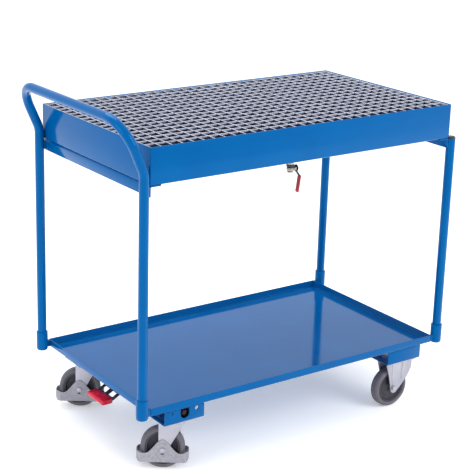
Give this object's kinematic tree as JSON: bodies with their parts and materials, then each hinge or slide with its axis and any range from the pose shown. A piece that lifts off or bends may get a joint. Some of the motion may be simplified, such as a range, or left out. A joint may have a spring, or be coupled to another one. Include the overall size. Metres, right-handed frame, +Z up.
{
  "type": "platform trolley",
  "caption": "Two-level workshop trolley: sheet tray below, deep drip pan with lift-out grating and drain valve above, tube push handle, swivel and fixed casters, pedal brake.",
  "frame": {"origin": "centre of the bounding box in plan, at floor level under the wheels, with the swivel casters turned as built", "axes": "+X along the trolley from the push handle end to the front end, +Y across it to the side away from the drain valve, +Z up"},
  "size_m": [1.1615, 0.6194, 1.0355],
  "materials": {
    "blue_paint": "satin powder coat, slightly glossy",
    "galvanised": "hot-dip galvanised, dull with faint spangle",
    "zinc_plate": "bright zinc plating",
    "nickel_brass": "nickel-plated brass",
    "dark_steel": "black satin coating",
    "guard_grey": "grey hammered paint",
    "tyre_grey": "grey elastic solid rubber, dull",
    "rim_plastic": "dark grey moulded nylon",
    "black_plastic": "black moulded plug",
    "red_plastic": "red moulded plastic, semi-gloss"
  },
  "bodies": {
    "frame": {"lower_tray": "blue_paint", "handle_bow": "blue_paint", "upright_near": "blue_paint", "upright_far": "blue_paint", "upright_cap_near": "black_plastic", "upright_cap_far": "black_plastic", "socket_handle_near": "blue_paint", "socket_handle_far": "blue_paint", "socket_front_near": "blue_paint", "socket_front_far": "blue_paint", "support_angle_front": "blue_paint", "support_angle_handle": "blue_paint", "drip_pan": "blue_paint", "grating_ledge": "blue_paint", "drain_coupling": "zinc_plate", "valve_body": "nickel_brass", "valve_packing_nut": "dark_steel", "carrier_swivel_near": "blue_paint", "carrier_swivel_far": "blue_paint", "carrier_fixed_near": "blue_paint", "carrier_fixed_far": "blue_paint", "caster_plate_near": "zinc_plate", "caster_plate_far": "zinc_plate", "swivel_race_near": "zinc_plate", "swivel_race_far": "zinc_plate", "fixed_bracket_near": "zinc_plate", "fixed_bracket_far": "zinc_plate", "fixed_axle_near": "zinc_plate", "fixed_axle_far": "zinc_plate", "shaft_hanger_near": "dark_steel", "shaft_hanger_far": "dark_steel"},
    "lift_out_grating": {"grating": "galvanised"},
    "valve_handle": {"valve_ball_stem": "nickel_brass", "valve_lever": "zinc_plate", "valve_grip": "red_plastic", "valve_lever_nut": "dark_steel"},
    "brake_pedal": {"brake_shaft": "dark_steel", "brake_cam_near": "red_plastic", "brake_cam_far": "red_plastic", "pedal_arm": "dark_steel", "pedal_pad": "red_plastic"},
    "swivel_near": {"swivel_fork_near": "zinc_plate", "kingpin_near": "zinc_plate", "foot_guard_near": "guard_grey", "swivel_axle_near": "zinc_plate"},
    "swivel_wheel_near": {"swivel_rim_near": "rim_plastic", "swivel_tyre_near": "tyre_grey"},
    "fixed_wheel_near": {"fixed_rim_near": "rim_plastic", "fixed_tyre_near": "tyre_grey"},
    "brake_plunger_near": {"brake_shoe_near": "dark_steel"},
    "swivel_far": {"swivel_fork_far": "zinc_plate", "kingpin_far": "zinc_plate", "foot_guard_far": "guard_grey", "swivel_axle_far": "zinc_plate"},
    "swivel_wheel_far": {"swivel_rim_far": "rim_plastic", "swivel_tyre_far": "tyre_grey"},
    "fixed_wheel_far": {"fixed_rim_far": "rim_plastic", "fixed_tyre_far": "tyre_grey"},
    "brake_plunger_far": {"brake_shoe_far": "dark_steel"}
  },
  "joints": [
    {"name": "grating_lift", "type": "slide", "parent": "frame", "child": "lift_out_grating", "axis": [0, 0, 1], "range_m": [0, 0.12]},
    {"name": "valve_quarter_turn", "type": "hinge", "parent": "frame", "child": "valve_handle", "pos_m": [0.04, -0.1972, 0.802], "axis": [-1, 0, 0], "range_deg": [0, 90]},
    {"name": "brake_pedal_tilt", "type": "hinge", "parent": "frame", "child": "brake_pedal", "pos_m": [-0.36, -0.0072, 0.18], "axis": [0, -1, 0], "range_deg": [0, 20]},
    {"name": "swivel_near_turn", "type": "hinge", "parent": "frame", "child": "swivel_near", "pos_m": [-0.36, -0.2432, 0.149], "axis": [0, 0, 1], "continuous": true},
    {"name": "swivel_wheel_near_roll", "type": "hinge", "parent": "swivel_near", "child": "swivel_wheel_near", "pos_m": [-0.39113, -0.2214, 0.0625], "axis": [0.5736, 0.8192, 0], "continuous": true},
    {"name": "fixed_wheel_near_roll", "type": "hinge", "parent": "frame", "child": "fixed_wheel_near", "pos_m": [0.427, -0.2432, 0.0625], "axis": [0, 1, 0], "continuous": true},
    {"name": "brake_plunger_near_slide", "type": "slide", "parent": "swivel_near", "child": "brake_plunger_near", "axis": [0, 0, -1], "range_m": [0, 0.0025]},
    {"name": "swivel_far_turn", "type": "hinge", "parent": "frame", "child": "swivel_far", "pos_m": [-0.36, 0.2288, 0.149], "axis": [0, 0, 1], "continuous": true},
    {"name": "swivel_wheel_far_roll", "type": "hinge", "parent": "swivel_far", "child": "swivel_wheel_far", "pos_m": [-0.39113, 0.2506, 0.0625], "axis": [0.5736, 0.8192, 0], "continuous": true},
    {"name": "fixed_wheel_far_roll", "type": "hinge", "parent": "frame", "child": "fixed_wheel_far", "pos_m": [0.427, 0.2288, 0.0625], "axis": [0, 1, 0], "continuous": true},
    {"name": "brake_plunger_far_slide", "type": "slide", "parent": "swivel_far", "child": "brake_plunger_far", "axis": [0, 0, -1], "range_m": [0, 0.0025]}
  ],
  "couplings": [
    {"joint": "brake_plunger_near_slide", "follows": "brake_pedal_tilt", "m_per_rad": 0.007},
    {"joint": "brake_plunger_far_slide", "follows": "brake_pedal_tilt", "m_per_rad": 0.007}
  ]
}
